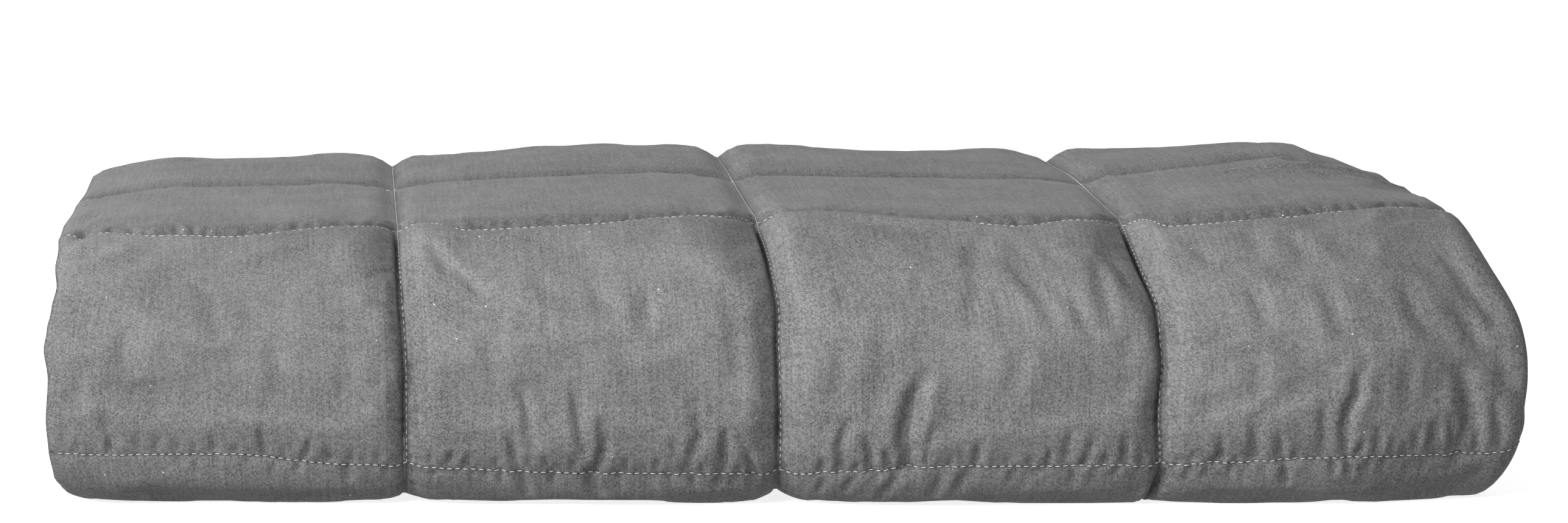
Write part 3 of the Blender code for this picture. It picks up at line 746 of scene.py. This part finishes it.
def simulateSkin():
    # the outer shell puffs up between its stitched lines; returns how far each point of its grid moves
    low, high, first, last = simulation["zone"]
    columns = round((high - low) * simulation["perSquare"]) + 1
    rows = round((last - first) * simulation["perSquare"]) + 1
    body = bmesh.new()
    bmesh.ops.create_grid(body, x_segments=columns - 1, y_segments=rows - 1, size=0.5)
    places = np.array([vert.co for vert in body.verts])
    column = np.rint((places[:, 0] + 0.5) * (columns - 1)).astype(int)
    row = np.rint((places[:, 1] + 0.5) * (rows - 1)).astype(int)
    across = low + column / simulation["perSquare"]
    along = first + row / simulation["perSquare"]
    points = outerFace(across, along, reliefOf(across, along))
    chance = np.random.RandomState(simulation["seed"])
    started = points + chance.uniform(-1, 1, points.shape) * simulation["startNoise"]
    for vert, point in zip(body.verts, started):
        vert.co = point
    shell = pieceFrom(body, "outer_shell")
    fromSeam = np.minimum(np.abs(across - np.rint(across)), np.abs(along - np.rint(along)))
    border = (column == 0) | (column == columns - 1) | (row == 0) | (row == rows - 1)
    addCloth(shell, (fromSeam < simulation["heldReach"]) | border, points)
    for step in range(1, simulation["frames"] + 1):
        bpy.context.scene.frame_set(step)
    graph = bpy.context.evaluated_depsgraph_get()
    settled = np.array([vert.co for vert in shell.evaluated_get(graph).data.vertices])
    mesh = shell.data
    bpy.data.objects.remove(shell, do_unlink=True)
    bpy.data.meshes.remove(mesh)
    bpy.context.scene.frame_set(1)
    moved, seamAway = np.zeros((rows, columns, 3)), np.zeros((rows, columns))
    moved[row, column] = settled - points
    seamAway[row, column] = fromSeam
    # the fold keeps its own fullness: only the cloth's wrinkles are taken over
    spread = simulation["wrinkleSpan"] / cell * simulation["perSquare"]
    moved -= blurred(blurred(moved, spread, 0), spread, 1)
    size = np.linalg.norm(moved, axis=2)
    mean, most = (round(float(value) * 1000, 2) for value in (size.mean(), size.max()))
    print("shell moved", mean, "mm on average,", most, "at most")
    freed = smooth(seamAway * cell / simulation["stillBeside"])
    cap = simulation["cap"]
    return moved * (freed * cap * np.tanh(size / cap) / np.maximum(size, 1e-9))[:, :, None]


def shellMoves(field, across, along):
    # the simulated move at any place of the outer face
    low, high, first, last = simulation["zone"]
    u = np.clip((across - low) * simulation["perSquare"], 0, field.shape[1] - 1)
    v = np.clip((along - first) * simulation["perSquare"], 0, field.shape[0] - 1)
    column = np.minimum(u.astype(int), field.shape[1] - 2)
    row = np.minimum(v.astype(int), field.shape[0] - 2)
    right, up = (u - column)[:, None], (v - row)[:, None]
    inside = ((across >= low) & (along >= first) & (along <= last))[:, None]
    return inside * (field[row, column] * (1 - right) * (1 - up) + field[row, column + 1] * right * (1 - up)
                     + field[row + 1, column] * (1 - right) * up + field[row + 1, column + 1] * right * up)


def makeBlanket():
    body = makeFlatBlanket()
    places = np.array([vert.co for vert in body.verts])
    across, along, face = places[:, 0], places[:, 1], np.sign(places[:, 2])
    outer = face > 0
    relief = np.zeros(len(places))
    relief[outer] = reliefOf(across[outer], along[outer])
    points = folded(across, along, face, relief, np.where(outer, softSeamsOf(along), 0.0))
    points[outer] += shellMoves(simulateSkin(), across[outer], along[outer])
    points[:, 2] = np.maximum(0.0, points[:, 2])  # nothing sinks into the floor
    layer = body.loops.layers.uv.new("clothMetres")
    for item in body.faces:
        for loop in item.loops:
            loop[layer].uv = (loop.vert.co.x * cell, loop.vert.co.y * cell)
    for vert, point in zip(body.verts, points):
        vert.co = point
    bmesh.ops.recalc_face_normals(body, faces=body.faces)
    piece = pieceFrom(body, "blanket_cloth")
    triangles = sum(len(polygon.vertices) - 2 for polygon in piece.data.polygons)
    print("blanket:", len(piece.data.vertices), "points,", triangles, "triangles")
    return piece


# the stitches, in metres; spans are in squares
stitching = {
    "pitch": 0.0033,
    "halfLength": 0.00115,
    "radius": 0.00027,
    "proud": 0.00018,  # the thread's middle above the cloth
    "segments": 6,
    "rings": 4,
    "sidewaysSpan": (3.92, 7.99),
    "uprightSpans": ((0.2, 1.72), (1.99, 5.6)),  # the fold at the foot hides those between
    "step": 1 / 64,
    "probe": 0.004,  # how far out the outward direction is measured
}


def stitchLines():
    # finely spaced points of each seam on the outer face, and the direction outwards at them
    sides = []
    for line in seams["frontToBack"]:
        for first, last in stitching["uprightSpans"]:
            along = np.arange(first, last, stitching["step"])
            sides.append((np.full_like(along, float(line)), along))
    for line in seams["sideways"]:
        across = np.arange(*stitching["sidewaysSpan"], stitching["step"])
        sides.append((across, np.full_like(across, float(line))))
    lines = []
    for across, along in sides:
        outward = outerFace(across, along, stitching["probe"]) - outerFace(across, along, 0.0)
        lines.append((outerFace(across, along, reliefOf(across, along)), outward))
    return lines


def pointAt(place, lengths, rows):
    return Vector([np.interp(place, lengths, rows[:, axis]) for axis in range(3)])


def makeStitches(lines):
    form = bmesh.new()
    bmesh.ops.create_uvsphere(form, u_segments=stitching["segments"], v_segments=stitching["rings"], radius=1.0)
    bmesh.ops.rotate(form, verts=form.verts, matrix=Matrix.Rotation(math.pi / 2, 3, "Y"))
    template = bpy.data.meshes.new("stitch")
    form.to_mesh(template)
    form.free()
    half, radius = stitching["halfLength"], stitching["radius"]
    size = Matrix.Diagonal((half, radius, radius, 1.0))
    body = bmesh.new()
    count = 0
    for points, outward in lines:
        lengths = runLengths(points)
        for place in np.arange(0.5 * stitching["pitch"], lengths[-1], stitching["pitch"]):
            start, middle, end = (pointAt(place + off, lengths, points) for off in (-half, 0.0, half))
            up = pointAt(place, lengths, outward)
            along = (end - start).normalized()
            up = (up - along * up.dot(along)).normalized()
            turn = Matrix((along, up.cross(along), up)).transposed().to_4x4()
            centre = middle + up * stitching["proud"]
            centre.z = max(centre.z, half * abs(along.z) + radius)  # above the floor
            shape = template.copy()
            shape.transform(Matrix.Translation(centre) @ turn @ size)
            body.from_mesh(shape)
            bpy.data.meshes.remove(shape)
            count += 1
    bpy.data.meshes.remove(template)
    print("stitches:", count)
    return pieceFrom(body, "seam_stitches")


# finishes; scales are per metre of cloth
clothFinish = {
    "dark": (0.065, 0.065, 0.066, 1.0),
    "light": (0.35, 0.35, 0.351, 1.0),
    "grainScale": 1900.0, "grainShare": 0.95,
    "speckleScale": 1700.0, "speckleShare": 0.56,
    "slubScale": (900.0, 22.0, 1.0), "slubShare": 0.45,  # threads that run thick and thin
    "cloudScale": 28.0, "cloudShare": 0.4,
    "detail": 2.0,
    # painted shade in the stitched grooves and in the valleys behind the sideways seams: its colour, then its
    # reach and strength
    "paintedShade": (0.03, 0.03, 0.031, 1.0),
    "seamShadeReach": 0.0011, "seamShadeShare": 0.75, "seamShadeLeast": 0.35,
    "valleyShadeReach": 0.026, "valleyShadeShare": 0.45, "valleyShadeFrom": 2.5,  # squares along
    # painted glints: rare bright specks in the colour
    "paintedGlint": (0.75, 0.75, 0.76, 1.0),
    "glintScale": 240.0, "glintSize": 0.1, "glintRare": 0.95,
    "roughness": 0.58, "roughnessSpread": 0.12,
    "sheen": 0.06, "sheenRoughness": 0.4, "specular": 0.25,
    "bumpGrain": 0.3, "bumpSlub": 0.7, "bumpDistance": 0.0001, "bumpStrength": 0.4,
}
threadFinish = {
    "dark": (0.44, 0.44, 0.445, 1.0),
    "light": (0.74, 0.74, 0.745, 1.0),
    "scale": 2600.0,
    "roughness": 0.5,
}


def noiseNode(shader, place, scale, detail=clothFinish["detail"]):
    return shader.node("ShaderNodeTexNoise", {}, {"Vector": place, "Scale": scale, "Detail": detail})


def cellNode(shader, place, scale, output):
    # output 0 is the distance from a cell's middle, 1 the cell's colour
    return shader.node("ShaderNodeTexVoronoi", {}, {"Vector": place, "Scale": scale}, output)


def paintedGrooveShade(shader, cloth):
    # painted shade: the cloth's colour is darkened in a narrow band on each stitched line, broken at the stitch
    # pitch, and in a wider band in the valley behind each sideways seam from the upper front seam back
    perSquare, least = 1 / cell, clothFinish["seamShadeLeast"]
    u, v = (shader.node("ShaderNodeSeparateXYZ", {}, {"Vector": cloth}, axis) for axis in (0, 1))
    paintedShade = []
    # painted shade on the stitched lines
    for offset, run in ((u, v), (v, u)):
        away = ((offset * perSquare + 0.5).apply("FRACT") - 0.5).apply("ABSOLUTE") * cell
        line = (1.0 - away * (1 / clothFinish["seamShadeReach"])).apply("MAXIMUM", 0.0)
        beat = ((run * (1 / stitching["pitch"])).apply("FRACT") - 0.5).apply("ABSOLUTE") * 2.0
        paintedShade.append(line * (least + (1 - least) * beat) * clothFinish["seamShadeShare"])
    # painted shade in the valley behind each sideways seam
    behind = (v * perSquare).apply("FRACT") * cell
    band = (1.0 - behind * (1 / clothFinish["valleyShadeReach"])).apply("MAXIMUM", 0.0)
    onTop = v.apply("GREATER_THAN", clothFinish["valleyShadeFrom"] * cell)
    valleyShade = band * band * onTop * clothFinish["valleyShadeShare"]
    return paintedShade[0].apply("MAXIMUM", paintedShade[1]).apply("MAXIMUM", valleyShade)


def paintedGlint(shader, cloth):
    # painted glints: a few bright specks in the colour
    place, pick = (cellNode(shader, cloth, clothFinish["glintScale"], output) for output in (0, 1))
    rare = shader.channel(pick).apply("GREATER_THAN", clothFinish["glintRare"])
    return place.apply("LESS_THAN", clothFinish["glintSize"]) * rare


def makeClothFinish():
    look = clothFinish
    shader = Shader("quilting_polyester")
    cloth = shader.node("ShaderNodeUVMap", {"uv_map": "clothMetres"})
    grain = noiseNode(shader, cloth, look["grainScale"])
    speckle = shader.channel(cellNode(shader, cloth, look["speckleScale"], 1))
    stretched = shader.node("ShaderNodeMapping", {}, {"Vector": cloth, "Scale": look["slubScale"]})
    slub = noiseNode(shader, stretched, 1.0)
    cloudy = noiseNode(shader, cloth, look["cloudScale"])
    tone = 0.5 + (grain - 0.5) * look["grainShare"] + (speckle - 0.5) * look["speckleShare"]
    tone = tone + (slub - 0.5) * look["slubShare"] + (cloudy - 0.5) * look["cloudShare"]
    colour = shader.mix(tone.apply("MAXIMUM", 0.0).apply("MINIMUM", 1.0), look["dark"], look["light"])
    # the painted shade of the grooves and valleys goes into the base colour
    colour = shader.mix(paintedGrooveShade(shader, cloth), colour, look["paintedShade"])
    # the painted glints go into the base colour
    shader.feed("Base Color", shader.mix(paintedGlint(shader, cloth), colour, look["paintedGlint"]))
    shader.feed("Roughness", look["roughness"] + (cloudy - 0.5) * look["roughnessSpread"])
    shader.feed("Sheen Weight", look["sheen"])
    shader.feed("Sheen Roughness", look["sheenRoughness"])
    shader.feed("Specular IOR Level", look["specular"])
    height = grain * look["bumpGrain"] + slub * look["bumpSlub"]
    shader.feed("Normal", shader.node("ShaderNodeBump", {}, {
        "Height": height, "Distance": look["bumpDistance"], "Strength": look["bumpStrength"]}))
    return shader.material


def makeThreadFinish():
    shader = Shader("polyester_thread")
    place = shader.node("ShaderNodeTexCoord", output=3)  # Object coordinates
    strands = noiseNode(shader, place, threadFinish["scale"], 1.0)
    shader.feed("Base Color", shader.mix(strands, threadFinish["dark"], threadFinish["light"]))
    shader.feed("Roughness", threadFinish["roughness"])
    return shader.material


cloth = makeBlanket()
finish(cloth, makeClothFinish())
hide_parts("quilted_blanket")
stitches = makeStitches(stitchLines())
finish(stitches, makeThreadFinish())
print("pieces made")

# floor, light and camera
studio = {
    "floorSize": 14.0,
    "floorColour": (0.8, 0.8, 0.8, 1.0),
    "floorRoughness": 0.9,
    "floorGlow": 1.0,  # a sheet lit from below
    "surround": (1.0, 1.0, 1.0, 1.0),
    "surroundStrength": 0.34,
    "lights": (  # name, watts, side in metres, place, what it is turned to
        ("softbox", 16.8, 0.36, (-0.54, -1.41, 0.62), (1.6, -0.8, 0.06)),
        ("side_softbox", 91.0, 0.8, (-2.2, -1.93, 1.02), (0.52, -3.17, 0.06)),
        ("top_softbox", 5.4, 0.6, (-0.85, 0.40, 0.85), (-0.4, -0.10, 0.06)),
    ),
    "cameraPlace": (0.0123, -2.49397, 0.362),
    "cameraPitch": 83.65,
    "lens": 129.76,
    "sensorWidth": 36.0,
    "clip": (0.05, 60.0),
}


def makeFloor():
    body = bmesh.new()
    bmesh.ops.create_grid(body, x_segments=1, y_segments=1, size=studio["floorSize"])
    floor = pieceFrom(body, "floor")
    shader = Shader("pale_floor")
    shader.feed("Base Color", studio["floorColour"])
    shader.feed("Roughness", studio["floorRoughness"])
    shader.feed("Emission Color", studio["floorColour"])
    shader.feed("Emission Strength", studio["floorGlow"])
    floor.data.materials.append(shader.material)
    floor.visible_diffuse = False  # it throws no light back up at the blanket
    floor.visible_glossy = False


def makeLight():
    world = bpy.data.worlds.new("surround")
    world.use_nodes = True
    background = world.node_tree.nodes["Background"]
    background.inputs["Color"].default_value = studio["surround"]
    background.inputs["Strength"].default_value = studio["surroundStrength"]
    bpy.context.scene.world = world
    for name, watts, side, place, target in studio["lights"]:
        light = bpy.data.lights.new(name, "AREA")
        light.energy = watts
        light.size = side
        lamp = bpy.data.objects.new(name, light)
        lamp.location = place
        lamp.rotation_euler = (Vector(place) - Vector(target)).to_track_quat("Z", "Y").to_euler()
        bpy.context.scene.collection.objects.link(lamp)


def makeCamera():
    lens = bpy.data.cameras.new("camera")
    lens.lens = studio["lens"]
    lens.sensor_width = studio["sensorWidth"]
    lens.clip_start, lens.clip_end = studio["clip"]
    camera = bpy.data.objects.new("camera", lens)
    camera.location = studio["cameraPlace"]
    camera.rotation_euler = (math.radians(studio["cameraPitch"]), 0.0, 0.0)
    bpy.context.scene.collection.objects.link(camera)
    bpy.context.scene.camera = camera
    bpy.context.scene.view_settings.view_transform = "Standard"  # the picture's plain greys


makeFloor()
makeLight()
makeCamera()
print("studio ready")
